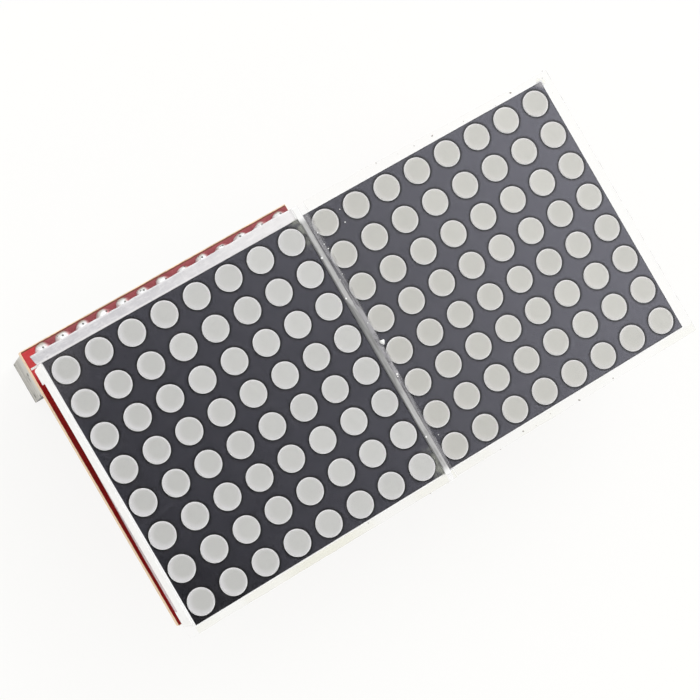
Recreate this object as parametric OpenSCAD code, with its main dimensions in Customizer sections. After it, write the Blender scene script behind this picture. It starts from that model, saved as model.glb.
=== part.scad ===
// Display board with two square LED dot matrix modules and a two-row socket.
// Frame: the origin is the centre of the contact pattern on the socket's mating
// face, +X runs along the socket towards the right module, +Y points away from
// the modules and +Z points out of the display face. Lengths are in millimetres.

/* [LED modules] */
// Dots along one side of a module
dots_per_side = 8; // [8:1:10]
// Distance between neighbouring dots, which also sets the module's side
dot_pitch = 4; // [3.9:0.05:4.5]
// Diameter of a resin dot at the face
dot_d = 2.8; // [2.4:0.05:3.1]
// White ring left between a dot and the ink
dot_rim = 0.1; // [0.04:0.01:0.15]
// Thickness of the black ink on the face
ink_t = 0.05; // [0.03:0.01:0.1]
// White border left between the ink and the edge of the face
ink_border = 0.15; // [0.05:0.05:0.3]
// Gap between the two modules
module_gap = 0.4; // [0.1:0.1:1]
// How far the right module sits nearer to the socket edge than the left one
module_step = 0.1; // [0:0.05:0.3]
// How far the left module reaches past the middle of the socket
module_reach = 0.15; // [-1:0.05:0.3]

/* [Reflector housing] */
// Depth of the side walls below the face
wall_depth = 5.15; // [4.9:0.05:7]
// Thickness of the side walls around the pocket for the chip board
wall_t = 0.8; // [0.6:0.1:1.2]
// Depth of a dot cavity below the face
cavity_depth = 3.4; // [2.5:0.1:3.6]
// Diameter of a dot cavity at its floor
cavity_floor_d = 1.8; // [1.2:0.1:2.2]
// Straight part of a dot cavity below the face
cavity_land = 0.5; // [0.3:0.1:1]
// Radius of the housing's upright corners
housing_r = 0.3; // [0.1:0.1:0.8]
// Side of a square corner foot
foot_w = 1.9; // [1.2:0.1:2.5]
// How far the corner feet reach below the side walls
foot_drop = 1.95; // [1:0.05:3]

/* [Chip board in a module] */
// Thickness of the chip board
chip_board_t = 1; // [0.6:0.1:1.1]
// Play between the chip board and the pocket walls
chip_board_play = 0.1; // [0.05:0.05:0.3]
// Layer of resin between the cavities and the chip board
resin_bed = 0.3; // [0.25:0.05:0.4]
// Side of a square LED chip
led_chip_w = 0.3; // [0.2:0.05:0.5]
// Height of an LED chip
led_chip_h = 0.2; // [0.1:0.02:0.22]

/* [Module pins] */
// Diameter of a module pin
pin_d = 0.5; // [0.4:0.05:0.6]
// Pitch of the module pins
pin_pitch = 2.54; // [2:0.02:3]
// Distance from the edge of a module to its nearer row of pins
pin_row_inset = 4; // [3.8:0.1:4.2]
// Length of a pin past the back of the main board
pin_stub = 1.2; // [1.1:0.1:2]
// Play between a module pin and the holes that it passes
pin_play = 0.05; // [0.02:0.01:0.1]

/* [Protective films] */
// Thickness of a film
film_t = 0.1; // [0.05:0.01:0.2]
// How far a film stands past the socket edge and the far edge of its module
film_over = 1.1; // [0.5:0.1:2]
// How far the hand-cut edges of a film run out of square
film_skew = 0.15; // [0:0.05:0.4]
// How far a film stands past the outer side of its module
film_side_over = 0.9; // [0.5:0.1:2]
// How far the left film laps over the right module
film_lap = 0.65; // [0.3:0.05:1.2]
// Slot between the two films where their edges meet
film_seam = 0.05; // [0.02:0.01:0.2]
// Width of the slanted cut at the left film's corner
film_cut_w = 0.6; // [0.2:0.1:1]
// Length of the slanted cut at the left film's corner
film_cut_l = 1; // [0.5:0.1:2]

/* [Main board] */
// Thickness of the main board
board_t = 1.6; // [1:0.1:2]
// Clear space between the modules' feet and the main board
board_gap = 2.9; // [2:0.1:5]
// How far the main board stays inside the modules' far and right edges
board_inset = 0.2; // [0:0.1:1]
// How far the board reaches past the socket's outer side
tab_margin = 0.25; // [0:0.05:1]
// Play between a socket tail and its round hole, all the way round
tail_hole_play = 0.15; // [0.1:0.05:0.2]
// Play between a module pin and its plated hole, all the way round
plated_hole_play = 0.2; // [0.1:0.05:0.25]
// Width of the printed legend line
legend_w = 0.25; // [0.15:0.05:0.4]
// Thickness of the printed legend
legend_t = 0.03; // [0.02:0.01:0.05]
// Distance from the left module's edge to the legend line
legend_offset = 0.35; // [0.2:0.05:1.2]
// Bare ring left between the legend and a solder pad
legend_clear = 0.15; // [0.1:0.05:0.3]

/* [Socket] */
// Contacts in each of the two rows
socket_columns = 13; // [10:1:13]
// Pitch of the contacts and of the two rows
socket_pitch = 2.54; // [2.5:0.02:2.6]
// Height of the socket body
socket_h = 8.5; // [7:0.1:12]
// Width of the socket body across its two rows
socket_w = 5; // [4.9:0.1:5.6]
// Body past the last contact at the finished end
socket_end = 1.27; // [1:0.01:1.6]
// Body past the first contact at the end that was cut off flush with the board
socket_cut_end = 2.46; // [1.3:0.02:3]
// Side of the square opening that takes a header pin
entry_w = 0.8; // [0.7:0.05:0.9]
// Side of the funnel at the mating face
funnel_w = 1.3; // [1.1:0.05:1.5]
// Depth of the funnel
funnel_depth = 0.5; // [0.3:0.1:0.8]
// Lip between the funnel and the contact chamber
lip_t = 0.4; // [0.3:0.1:0.8]
// Width of a contact chamber along the socket
chamber_x = 1.2; // [1:0.05:1.5]
// Width of a contact chamber across the socket
chamber_y = 1.5; // [1.35:0.05:1.6]
// Roof of the chambers, under the main board
chamber_roof = 1.2; // [0.8:0.1:1.6]

/* [Socket contacts] */
// Thickness of the contact sheet
contact_t = 0.25; // [0.15:0.01:0.28]
// Width of the two leaves along the socket
leaf_w = 0.8; // [0.6:0.05:0.9]
// Distance between the outer faces of the two leaves
fork_w = 1.24; // [1.1:0.02:1.3]
// Gap between the leaves where they grip a pin
grip_gap = 0.4; // [0.3:0.05:0.5]
// How far each leaf flares outwards at its tip
leaf_flare = 0.15; // [0.05:0.05:0.2]
// Height of the grip above the chamber floor
grip_rise = 1.5; // [1:0.1:2.5]
// Gap between the leaf tips and the chamber floor
tip_gap = 0.3; // [0.2:0.1:0.6]
// Height of the bridge that joins the leaves
bridge_h = 0.4; // [0.3:0.1:0.8]
// Width of a contact tail along the socket
tail_w = 0.6; // [0.5:0.05:0.7]
// Play between a tail and its slot in the chamber roof
tail_play = 0.05; // [0.03:0.01:0.1]

/* [Solder joints] */
// Radius of a socket joint at its pad
joint_r = 1.05; // [0.75:0.05:1.1]
// Height of a socket joint
joint_h = 1.2; // [0.8:0.05:1.5]
// How far a socket tail stands out of its solder joint
tail_stub = 0.1; // [0.05:0.05:0.4]
// Radius of a module pin's joint at its pad
pin_joint_r = 0.85; // [0.7:0.05:1]
// Height of a module pin's joint
pin_joint_h = 0.9; // [0.6:0.05:1.1]
// Thickness of the solder round a module pin at the top of its joint
pin_joint_neck = 0.1; // [0.05:0.01:0.2]

/* [Driver chips] */
// Length of a driver body
driver_l = 15.4; // [12:0.1:16]
// Width of a driver body
driver_w = 7.5; // [6:0.1:7.6]
// Thickness of a driver body
driver_h = 2.3; // [1.6:0.1:2.6]
// Gap between a driver body and the main board
driver_standoff = 0.2; // [0.1:0.05:0.3]
// Mould taper on each side of a driver body
driver_draft = 0.15; // [0.05:0.05:0.3]
// Leads on each side of a driver
driver_leads_per_side = 12; // [8:1:12]
// Pitch of the driver leads
lead_pitch = 1.27; // [1:0.01:1.27]
// Distance across the two rows of lead tips
lead_span = 10.3; // [9.9:0.1:10.6]
// Width of a driver lead
lead_w = 0.42; // [0.3:0.02:0.5]
// Thickness of a driver lead
lead_t = 0.25; // [0.15:0.01:0.3]
// Length of a lead's foot on the board
lead_foot = 0.75; // [0.5:0.05:0.9]
// Straight part of a lead where it leaves the body
lead_shoulder = 0.35; // [0.2:0.05:0.5]
// Diameter of the round mark at a driver's first lead
mark_d = 1; // [0.6:0.1:1.4]
// Depth of the round mark
mark_depth = 0.1; // [0.05:0.05:0.2]
// Distance of the round mark's centre from the ends of the body
mark_inset = 1.2; // [0.8:0.1:2]

/* [Chip resistors and capacitors] */
// Length of a chip resistor or a decoupling capacitor, with its end caps
chip_l = 2; // [1.6:0.1:2.2]
// Width of a chip resistor or a decoupling capacitor
chip_w = 1.25; // [0.8:0.05:1.4]
// Height of a chip resistor
resistor_h = 0.5; // [0.4:0.05:0.7]
// Height of a decoupling capacitor
capacitor_h = 0.85; // [0.5:0.05:1.25]
// Length of a bulk capacitor, with its end caps
bulk_l = 3.5; // [3.2:0.1:4]
// Width of a bulk capacitor
bulk_w = 2.8; // [1.6:0.1:3]
// Height of a bulk capacitor
bulk_h = 1.9; // [1.6:0.1:2.4]
// Length of an end cap
cap_l = 0.35; // [0.2:0.05:0.5]
// How far an end cap stands proud of its body
cap_lap = 0.03; // [0.02:0.01:0.06]
// Gap between a driver's lead tips and the chip parts beside it
chip_spacing = 2; // [1:0.1:2.5]
// Distance of the capacitors' centres from the middle of their driver
capacitor_offset = 3; // [2.9:0.1:6]

/* [Hidden] */
$fn = 32;
LEFT = 0;
RIGHT = 1;
SIDES = [-1, 1];
cut = 0.1;

// Plan of the modules and the main board
module_size = dots_per_side * dot_pitch;
module_half = module_size / 2;
socket_half_l = (socket_columns - 1) / 2 * socket_pitch;
board_left = -socket_half_l - socket_cut_end;
tab_right = socket_half_l + socket_end;
tab_edge = socket_w / 2 + tab_margin;
module_x = [board_left + module_half, board_left + module_half + module_size + module_gap];
module_y = [module_reach - module_half, module_reach - module_half + module_step];
board_right = module_x[RIGHT] + module_half - board_inset;
board_near = module_reach - board_inset;
board_far = module_reach - module_size + board_inset;
driver_y = (board_near + board_far) / 2;

// Levels from the socket's mating face up to the display face
board_back_z = socket_h;
board_front_z = board_back_z + board_t;
foot_z = board_front_z + board_gap;
wall_z = foot_z + foot_drop;
face_z = wall_z + wall_depth;
housing_top_z = face_z - ink_t;
cavity_floor_z = face_z - cavity_depth;
chip_board_front_z = cavity_floor_z - resin_bed;
chip_board_back_z = chip_board_front_z - chip_board_t;
tail_top_z = board_front_z + joint_h + tail_stub;
chamber_floor_z = funnel_depth + lip_t;
chamber_top_z = socket_h - chamber_roof;

// Sizes that follow from the ones above
pocket_w = module_size - 2 * wall_t;
tail_hole_r = norm([tail_w, contact_t]) / 2 + tail_hole_play;
plated_hole_r = pin_d / 2 + plated_hole_play;
driver_mid_z = driver_standoff + driver_h / 2;

// ---- placing ----

module on_module(side, z) {
    translate([module_x[side], module_y[side], z]) children();
}

module at_dots() {
    middle = (dots_per_side - 1) / 2;
    for (column = [0 : dots_per_side - 1], row = [0 : dots_per_side - 1])
        translate([(column - middle) * dot_pitch, (row - middle) * dot_pitch, 0]) children();
}

module at_module_pins() {
    middle = (dots_per_side - 1) / 2;
    for (row_side = SIDES, pin = [0 : dots_per_side - 1])
        translate([row_side * (module_half - pin_row_inset), (pin - middle) * pin_pitch, 0]) children();
}

module at_socket_row(row_side) {
    for (column = [0 : socket_columns - 1])
        translate([column * socket_pitch - socket_half_l, row_side * socket_pitch / 2, 0]) children();
}

module at_socket_contacts() {
    for (row_side = SIDES)
        at_socket_row(row_side) children();
}

module on_board_back(x, y) {
    translate([x, y, board_back_z]) mirror([0, 0, 1]) children();
}

module at_resistors() {
    for (side = [LEFT, RIGHT])
        on_board_back(module_x[side], driver_y + lead_span / 2 + chip_spacing + chip_w / 2) children();
}

module at_capacitors(direction, width) {
    for (side = [LEFT, RIGHT])
        on_board_back(module_x[side] + direction * capacitor_offset,
                      driver_y - lead_span / 2 - chip_spacing - width / 2) children();
}

// ---- shared forms ----

// A block on z = 0, centred in x and y
module centred_block(size) {
    translate([-size.x / 2, -size.y / 2, 0]) cube(size);
}

// A square block with rounded upright edges
module rounded_block(side, height, r) {
    linear_extrude(height) {
        square([side, side - 2 * r], center = true);
        square([side - 2 * r, side], center = true);
        for (sx = SIDES, sy = SIDES)
            translate([sx * (side / 2 - r), sy * (side / 2 - r)]) circle(r);
    }
}

// An outline in the y-z plane, made solid along x
module along_x(length) {
    rotate([90, 0, 90]) linear_extrude(length, center = true) children();
}

// An outline in the x-z plane, made solid along y
module along_y(length) {
    rotate([90, 0, 0]) linear_extrude(length, center = true) children();
}

// A dot cavity from its floor at z = 0 up to the face; spare lengthens both ends for cutting
module dot_form(spare) {
    rotate_extrude()
        polygon([
            [0, -spare], [cavity_floor_d / 2, -spare], [cavity_floor_d / 2, 0],
            [dot_d / 2, cavity_depth - cavity_land],
            [dot_d / 2, cavity_depth + spare], [0, cavity_depth + spare]
        ]);
}

// ---- LED modules ----

// White moulding: reflector cavities, side walls round a pocket and four corner feet
module reflector_housing(side) {
    color("whitesmoke") on_module(side, 0)
        difference() {
            union() {
                translate([0, 0, wall_z]) rounded_block(module_size, housing_top_z - wall_z, housing_r);
                intersection() {
                    translate([0, 0, foot_z]) rounded_block(module_size, foot_drop, housing_r);
                    for (sx = SIDES, sy = SIDES)
                        translate([sx * (module_size - foot_w) / 2, sy * (module_size - foot_w) / 2, foot_z])
                            centred_block([foot_w, foot_w, foot_drop]);
                }
            }
            translate([0, 0, foot_z - cut])
                centred_block([pocket_w, pocket_w, cavity_floor_z - foot_z + cut]);
            translate([0, 0, cavity_floor_z]) at_dots() dot_form(cut);
        }
}

// Black ink on the face, open over each dot and its white ring
module face_ink(side) {
    color("dimgray") on_module(side, housing_top_z)
        difference() {
            centred_block([module_size - 2 * ink_border, module_size - 2 * ink_border, ink_t]);
            translate([0, 0, -cut]) at_dots() cylinder(h = ink_t + 2 * cut, r = dot_d / 2 + dot_rim);
        }
}

// Milky resin cast into the cavities and over the chip board
module resin_dots(side) {
    color("gainsboro")
        difference() {
            on_module(side, 0) {
                translate([0, 0, cavity_floor_z]) at_dots() dot_form(0);
                translate([0, 0, chip_board_front_z]) centred_block([pocket_w, pocket_w, resin_bed]);
            }
            led_chips(side);
        }
}

// Board in the pocket that carries the LED chips and the pins
module chip_board(side) {
    board_w = pocket_w - 2 * chip_board_play;
    color("darkkhaki") on_module(side, chip_board_back_z)
        difference() {
            centred_block([board_w, board_w, chip_board_t]);
            translate([0, 0, -cut])
                at_module_pins() cylinder(h = chip_board_t + 2 * cut, r = pin_d / 2 + pin_play);
        }
}

// One LED chip under each dot
module led_chips(side) {
    color("gold") on_module(side, chip_board_front_z)
        at_dots() centred_block([led_chip_w, led_chip_w, led_chip_h]);
}

// Two rows of pins from the chip board through the main board
module module_pins(side) {
    pin_low_z = board_back_z - pin_stub;
    color("silver") on_module(side, pin_low_z)
        at_module_pins() cylinder(h = chip_board_front_z - pin_low_z, r = pin_d / 2);
}

// ---- protective films ----

// Left film: hand cut, with a slanted corner, and lapping over the right module
module left_face_film() {
    left = module_x[LEFT] - module_half;
    right = module_x[LEFT] + module_half + module_gap + film_lap;
    near = module_y[LEFT] + module_half + film_over;
    far = module_y[LEFT] - module_half - film_over;
    color("lavender", 0.6) translate([0, 0, face_z]) linear_extrude(film_t)
        polygon([
            [left - film_side_over, far + film_skew],
            [right - 2 * film_skew, far],
            [right + film_skew, near + film_skew],
            [left - film_cut_w, near],
            [left, near - film_cut_l]
        ]);
}

// Right film: its left edge meets the left film's right edge
module right_face_film() {
    left = module_x[LEFT] + module_half + module_gap + film_lap + film_seam;
    right = module_x[RIGHT] + module_half + film_side_over;
    near = module_y[RIGHT] + module_half + film_over;
    far = module_y[RIGHT] - module_half - film_over;
    color("lavender", 0.6) translate([0, 0, face_z]) linear_extrude(film_t)
        polygon([
            [left - 2 * film_skew, far],
            [right + film_skew, far],
            [right + film_skew, near - 3 * film_skew],
            [left + film_skew, near]
        ]);
}

// ---- main board ----

// Board under both modules, with a tab past them that carries the socket
module main_board() {
    color("firebrick") difference() {
        translate([0, 0, board_back_z]) linear_extrude(board_t)
            polygon([
                [board_left, board_far], [board_right, board_far], [board_right, board_near],
                [tab_right, board_near], [tab_right, tab_edge], [board_left, tab_edge]
            ]);
        translate([0, 0, board_back_z - cut]) {
            at_socket_contacts() cylinder(h = board_t + 2 * cut, r = tail_hole_r);
            for (side = [LEFT, RIGHT])
                on_module(side, 0) at_module_pins() cylinder(h = board_t + 2 * cut, r = plated_hole_r);
        }
    }
}

// Legend line beside the left module, broken at the pads of the socket's outer row
module board_legend() {
    line_left = board_left + legend_clear;
    line_y = module_reach + legend_offset;
    color("white") translate([0, 0, board_front_z])
        difference() {
            translate([line_left, line_y - legend_w / 2, 0])
                cube([tab_right - legend_clear - line_left, legend_w, legend_t]);
            translate([0, 0, -cut])
                at_socket_row(1) cylinder(h = legend_t + 2 * cut, r = joint_r + legend_clear);
        }
}

// ---- socket ----

// Outline of the funnel and the square opening above it, up into the chamber
module entry_outline() {
    polygon([
        [-funnel_w / 2, -cut], [funnel_w / 2, -cut], [funnel_w / 2, 0],
        [entry_w / 2, funnel_depth], [entry_w / 2, chamber_floor_z + cut],
        [-entry_w / 2, chamber_floor_z + cut], [-entry_w / 2, funnel_depth], [-funnel_w / 2, 0]
    ]);
}

// Everything that one contact position takes out of the socket body
module contact_cavity() {
    intersection() {
        along_x(2 * funnel_w) entry_outline();
        along_y(2 * funnel_w) entry_outline();
    }
    translate([0, 0, chamber_floor_z])
        centred_block([chamber_x, chamber_y, chamber_top_z - chamber_floor_z]);
    translate([0, 0, chamber_top_z - cut])
        centred_block([tail_w + 2 * tail_play, contact_t + 2 * tail_play, chamber_roof + 2 * cut]);
}

// Moulded body, cut off flush with the board at its left end
module socket_body() {
    color("#2b2b2b") difference() {
        translate([board_left, -socket_w / 2, 0])
            cube([tab_right - board_left, socket_w, socket_h]);
        at_socket_contacts() contact_cavity();
    }
}

// One spring leaf of a contact, on the +y side
module leaf_outline() {
    grip_z = chamber_floor_z + grip_rise;
    tip_z = chamber_floor_z + tip_gap;
    bridge_z = chamber_top_z - bridge_h;
    tip_y = grip_gap / 2 + leaf_flare;
    polygon([
        [fork_w / 2 - contact_t, bridge_z + cut], [fork_w / 2 - contact_t, bridge_z],
        [grip_gap / 2, grip_z], [tip_y, tip_z], [tip_y + contact_t, tip_z],
        [grip_gap / 2 + contact_t, grip_z], [fork_w / 2, bridge_z], [fork_w / 2, bridge_z + cut]
    ]);
}

// Tail of a contact, from its bridge up through the main board
module contact_tail() {
    translate([0, 0, chamber_top_z - bridge_h])
        centred_block([tail_w, contact_t, tail_top_z - chamber_top_z + bridge_h]);
}

// Forks with two leaves, each with a tail
module socket_contacts() {
    color("goldenrod") at_socket_contacts() {
        along_x(leaf_w) {
            leaf_outline();
            mirror([1, 0]) leaf_outline();
            translate([-fork_w / 2, chamber_top_z - bridge_h]) square([fork_w, bridge_h]);
        }
        contact_tail();
    }
}

// Domed solder joints round the tails, on the front of the board
module socket_solder_joints() {
    color("silver") at_socket_contacts()
        difference() {
            translate([0, 0, board_front_z]) rotate_extrude()
                polygon([[0, 0], for (a = [0 : 15 : 90]) [joint_r * cos(a), joint_h * sin(a)]]);
            contact_tail();
        }
}

// Hollow-sided solder cones round one module's pins, on the back of the board
module pin_solder_joints(side) {
    pin_r = pin_d / 2;
    flare = pin_joint_r - pin_r - pin_joint_neck;
    color("silver") on_module(side, board_back_z)
        at_module_pins() mirror([0, 0, 1]) rotate_extrude()
            polygon([
                [pin_r, 0],
                for (t = [0 : 0.25 : 1]) [pin_r + pin_joint_neck + flare * pow(1 - t, 2), pin_joint_h * t],
                [pin_r, pin_joint_h]
            ]);
}

// ---- parts on the back of the board ----

// Section of a driver body: tapered above and below a band as thick as its leads
module driver_outline(width) {
    low = driver_mid_z - lead_t / 2;
    high = driver_mid_z + lead_t / 2;
    top = driver_standoff + driver_h;
    polygon([
        [driver_draft - width / 2, driver_standoff], [width / 2 - driver_draft, driver_standoff],
        [width / 2, low], [width / 2, high], [width / 2 - driver_draft, top],
        [driver_draft - width / 2, top], [-width / 2, high], [-width / 2, low]
    ]);
}

// Moulded LED driver chip under the middle of a module
module driver_body(side) {
    color("#333333") on_board_back(module_x[side], driver_y)
        difference() {
            intersection() {
                along_x(driver_l) driver_outline(driver_w);
                along_y(driver_w) driver_outline(driver_l);
            }
            translate([mark_inset - driver_l / 2, mark_inset - driver_w / 2,
                       driver_standoff + driver_h - mark_depth])
                cylinder(h = mark_depth + cut, d = mark_d);
        }
}

// Gull-wing leads on both long sides of a driver
module driver_leads(side) {
    low = driver_mid_z - lead_t / 2;
    high = driver_mid_z + lead_t / 2;
    root = driver_w / 2;
    bend = root + lead_shoulder;
    foot = lead_span / 2 - lead_foot;
    tip = lead_span / 2;
    middle = (driver_leads_per_side - 1) / 2;
    color("silver") on_board_back(module_x[side], driver_y)
        for (row_side = [0, 1], lead = [0 : driver_leads_per_side - 1])
            translate([(lead - middle) * lead_pitch, 0, 0]) mirror([0, row_side, 0]) along_x(lead_w)
                polygon([
                    [root, low], [bend - lead_t / 2, low], [foot, 0], [tip, 0],
                    [tip, lead_t], [foot + lead_t, lead_t], [bend, high], [root, high]
                ]);
}

// Body of a chip resistor or capacitor, between its end caps
module chip_core(length, width, height) {
    translate([0, 0, cap_lap]) centred_block([length - 2 * cap_l, width, height]);
}

// Two metal end caps of a chip resistor or capacitor
module end_caps(length, width, height) {
    for (end = SIDES)
        translate([end * (length - cap_l) / 2, 0, 0])
            centred_block([cap_l, width + 2 * cap_lap, height + 2 * cap_lap]);
}

module set_resistors() {
    color("#202020") at_resistors() chip_core(chip_l, chip_w, resistor_h);
}

module decoupling_capacitors() {
    color("#b89a72") at_capacitors(1, chip_w) chip_core(chip_l, chip_w, capacitor_h);
}

module bulk_capacitors() {
    color("#c98f2b") at_capacitors(-1, bulk_w) chip_core(bulk_l, bulk_w, bulk_h);
}

module chip_end_caps() {
    color("silver") {
        at_resistors() end_caps(chip_l, chip_w, resistor_h);
        at_capacitors(1, chip_w) end_caps(chip_l, chip_w, capacitor_h);
        at_capacitors(-1, bulk_w) end_caps(bulk_l, bulk_w, bulk_h);
    }
}

reflector_housing(LEFT);  // left_reflector_housing
reflector_housing(RIGHT);  // right_reflector_housing
face_ink(LEFT);  // left_face_ink
face_ink(RIGHT);  // right_face_ink
resin_dots(LEFT);  // left_resin_dots
resin_dots(RIGHT);  // right_resin_dots
chip_board(LEFT);  // left_chip_board
chip_board(RIGHT);  // right_chip_board
led_chips(LEFT);  // left_led_chips
led_chips(RIGHT);  // right_led_chips
module_pins(LEFT);  // left_module_pins
module_pins(RIGHT);  // right_module_pins
left_face_film();
right_face_film();
main_board();
board_legend();
socket_body();
socket_contacts();
socket_solder_joints();
pin_solder_joints(LEFT);  // left_pin_solder_joints
pin_solder_joints(RIGHT);  // right_pin_solder_joints
driver_body(LEFT);  // left_driver_body
driver_body(RIGHT);  // right_driver_body
driver_leads(LEFT);  // left_driver_leads
driver_leads(RIGHT);  // right_driver_leads
set_resistors();
decoupling_capacitors();
bulk_capacitors();
chip_end_caps();
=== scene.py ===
"""Finishes and fine pieces of a display board with two dot matrix modules and a two-row socket."""

import math
import random

import bmesh
import bpy
from mathutils import Matrix, Vector, noise


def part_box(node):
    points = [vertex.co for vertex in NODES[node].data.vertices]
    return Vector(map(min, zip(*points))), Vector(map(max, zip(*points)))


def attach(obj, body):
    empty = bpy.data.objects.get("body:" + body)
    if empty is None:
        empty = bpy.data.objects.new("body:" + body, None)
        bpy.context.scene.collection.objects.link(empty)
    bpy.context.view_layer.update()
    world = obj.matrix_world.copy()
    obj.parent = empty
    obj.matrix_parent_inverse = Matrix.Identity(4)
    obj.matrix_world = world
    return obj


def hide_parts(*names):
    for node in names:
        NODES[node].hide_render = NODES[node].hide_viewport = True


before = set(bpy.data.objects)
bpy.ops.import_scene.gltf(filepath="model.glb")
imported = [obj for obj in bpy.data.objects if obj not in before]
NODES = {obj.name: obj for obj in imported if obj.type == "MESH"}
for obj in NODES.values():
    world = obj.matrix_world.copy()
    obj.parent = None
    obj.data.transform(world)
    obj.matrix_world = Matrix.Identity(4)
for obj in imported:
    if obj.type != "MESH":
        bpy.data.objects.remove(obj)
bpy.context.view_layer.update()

bl_info = {
    "name": "Dot Matrix Board Finishes",
    "version": (1, 0, 0),
    "blender": (4, 5, 0),
    "location": "View3D > Sidebar > Dot Matrix",
    "description": "Finishes, films, solder and stage of a twin dot matrix display board",
    "category": "Object",
}

MM = 0.001
SIDES = ("left", "right")


# ---- where the CAD has things, in millimetres ----

def mm_box(node):
    low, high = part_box(node)
    return low / MM, high / MM


def centre_of(node):
    low, high = mm_box(node)
    return (low + high) / 2


MODULE_CENTRE = {side: centre_of(side + "_reflector_housing") for side in SIDES}
HOUSING_LOW, HOUSING_HIGH = mm_box("left_reflector_housing")
MODULE_HALF = (HOUSING_HIGH.x - HOUSING_LOW.x) / 2
INK_LOW, INK_HIGH = mm_box("left_face_ink")
INK_HALF = (INK_HIGH.x - INK_LOW.x) / 2
FACE_Z = INK_HIGH.z
BOARD_LOW, BOARD_HIGH = mm_box("main_board")
SOCKET_LOW, SOCKET_HIGH = mm_box("socket_body")
JOINTS_LOW = mm_box("socket_solder_joints")[0]
SOCKET_COLUMNS = 13
SOCKET_PITCH = 2.54
DOT_PITCH = 4.0

# The gap between the modules, the faces' edge on the socket side and where the board's shade ends
SEAM_LEFT = MODULE_CENTRE["left"].x + MODULE_HALF
SEAM_RIGHT = MODULE_CENTRE["right"].x - MODULE_HALF
NEAR_EDGE = MODULE_CENTRE["left"].y + MODULE_HALF
SHOULDER = NEAR_EDGE - 0.2


# ---- sizes and colours that a user may change ----

def number(name, default, description, **limits):
    return bpy.props.FloatProperty(name=name, description=description, default=default, **limits)


def length(name, default, description):
    return number(name, default * MM, description, min=0, unit="LENGTH", precision=5)


def share(name, default, description):
    return number(name, default, description, min=0, max=1, subtype="FACTOR")


def colour(name, default, description):
    return bpy.props.FloatVectorProperty(
        name=name, description=description, default=default, min=0, max=1, size=3, subtype="COLOR"
    )


class FilmSizes(bpy.types.PropertyGroup):
    """Sizes of the two hand-cut protective films"""

    thickness: length("Film thickness", 0.09, "Thickness of a protective film")
    ragged: length("Ragged edge", 0.05, "How far a cut edge wanders from a straight line")
    lift: length("Edge lift", 0.16, "How far a loose edge curls up past the housing")
    wave: length("Loose wave", 0.32, "Height of the wave in the right film's far edge")
    steps: bpy.props.IntProperty(
        name="Edge steps", description="Points along each side of a film", default=170, min=20, max=400
    )


class SolderSizes(bpy.types.PropertyGroup):
    """Sizes of the hand-soldered domes on the socket's tails"""

    radius: length("Dome radius", 1.06, "Mean radius of a dome at its pad")
    height: length("Dome height", 1.2, "Height of a dome above the board")
    uneven: share("Unevenness", 0.09, "How far a dome departs from a round form")


class DustSizes(bpy.types.PropertyGroup):
    """Sizes of the dust and grit caught on the films"""

    flake: length("Flake size", 0.1, "Mean radius of a white flake")
    grit: length("Grit size", 0.055, "Mean radius of a dark speck")


class FinishColours(bpy.types.PropertyGroup):
    """Colours of the moulded, printed, cast and soldered finishes, and of painted shade on the board and
    over the gap
    """

    housing: colour("Housing", (0.955, 0.955, 0.945), "White moulding of the reflector housings")
    ink: colour("Ink", (0.0065, 0.0062, 0.0085), "Dark ink on the display faces")
    resin_left: colour("Left resin", (0.50, 0.50, 0.483), "Milky resin of the left module")
    resin_right: colour("Right resin", (0.492, 0.487, 0.452), "Milky resin of the right module")
    film: colour("Film haze", (0.575, 0.565, 0.585), "Rubbed and scratched film")
    film_pale: colour("Pale haze", (0.79, 0.775, 0.775), "Thicker haze toward the film's right end")
    film_rim: colour("Film rim", (0.74, 0.73, 0.58), "Yellowed film past the edges of a housing")
    # Seam haze with painted shade of the gap beneath it
    seam_haze_and_shade: colour("Seam haze", (0.31, 0.31, 0.305), "Film over the gap between the modules")
    mask: colour("Solder mask", (0.60, 0.055, 0.06), "Red mask on the main board")
    fluxed: colour("Fluxed mask", (0.34, 0.085, 0.095), "Red mask dulled by flux along the solder joints")
    # Painted shade on the board beside the module
    painted_shade_red: colour("Shaded mask", (0.30, 0.006, 0.007), "Deep red mask beside the module")
    laminate: colour("Laminate", (0.87, 0.66, 0.46), "Bare laminate along the cut edges")
    singed: colour("Singed line", (0.20, 0.07, 0.04), "Dark line where the cut edge meets the mask")
    legend: colour("Legend", (0.88, 0.88, 0.86), "White legend print")
    socket: colour("Socket", (0.018, 0.018, 0.019), "Black moulding of the socket")
    sawn: colour("Sawn face", (0.47, 0.46, 0.43), "Whitened face where the socket was cut off")
    solder: colour("Solder", (0.74, 0.75, 0.76), "Solder joints")
    tin: colour("Tin", (0.76, 0.75, 0.72), "Tinned pins, leads and contacts")
    mould: colour("Chip mould", (0.022, 0.022, 0.024), "Moulded chip bodies")
    carrier: colour("Chip board", (0.50, 0.55, 0.36), "Boards that carry the light emitting chips")
    die: colour("Chips", (0.42, 0.36, 0.22), "Light emitting chips")
    resistor: colour("Resistor", (0.03, 0.03, 0.032), "Glazed top of a chip resistor")
    ceramic: colour("Ceramic", (0.42, 0.27, 0.15), "Ceramic capacitor body")
    bulk: colour("Bulk capacitor", (0.62, 0.36, 0.07), "Moulded bulk capacitor body")


class StageSizes(bpy.types.PropertyGroup):
    """The floor, the lamp and the camera"""

    floor_side: number("Floor side", 3.0, "Side of the square floor", min=0.5, unit="LENGTH")
    floor_glow: share("Floor glow", 0.88, "Share of the floor that shows as plain white")
    lamp_side: number("Lamp side", 0.5, "Side of the square soft lamp", min=0.05, unit="LENGTH")
    lamp_power: number("Lamp power", 1.9, "Power of the soft lamp", min=0, unit="POWER")
    sky: number("Sky light", 1.0, "Strength of the soft light from all round", min=0, max=2)
    lens: number("Lens", 110.47, "Focal length of the camera", min=10, unit="CAMERA")


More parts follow.
